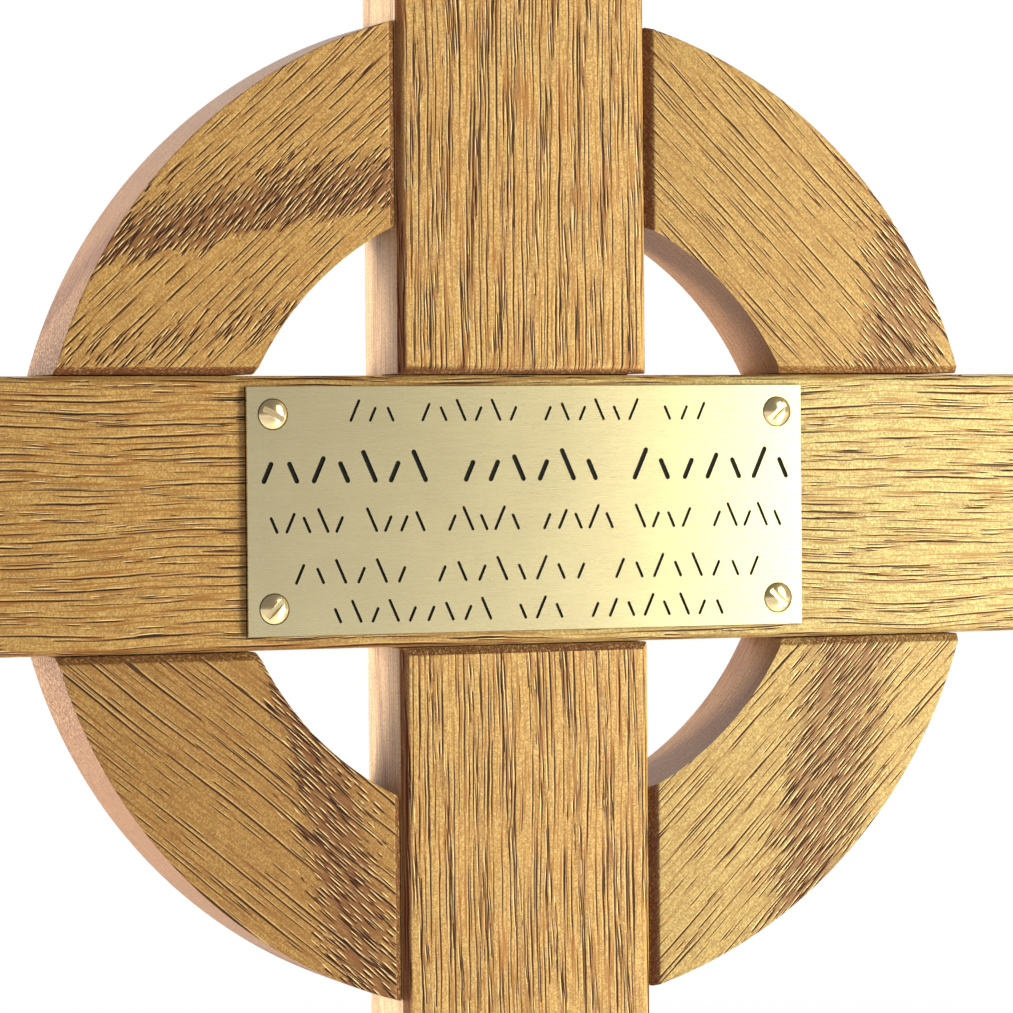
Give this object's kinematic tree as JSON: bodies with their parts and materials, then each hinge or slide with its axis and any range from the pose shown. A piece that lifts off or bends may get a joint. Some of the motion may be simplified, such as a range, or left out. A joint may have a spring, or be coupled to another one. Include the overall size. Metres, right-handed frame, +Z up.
{
  "type": "celtic cross grave marker",
  "caption": "Thin oak Celtic cross grave marker with an engraved brass name plate screwed to the crossing, set in the ground by its post.",
  "frame": {"origin": "middle of the post's foot, where the post is cut off level with the ground", "axes": "+Z up along the post, front with the name plate facing -Y, +X to the right of someone who looks at the front"},
  "size_m": [0.42, 0.0289, 0.62],
  "materials": {
    "oak": "oiled, open grain",
    "plate_brass": "satin, engraved strokes filled with black enamel",
    "screw_brass": "polished"
  },
  "bodies": {
    "root": {"post": "oak", "crossbar": "oak", "ring_upper_left": "oak", "ring_upper_right": "oak", "ring_lower_left": "oak", "ring_lower_right": "oak", "name_plate": "plate_brass", "screw_upper_left": "screw_brass", "screw_upper_right": "screw_brass", "screw_lower_left": "screw_brass", "screw_lower_right": "screw_brass"}
  },
  "joints": []
}
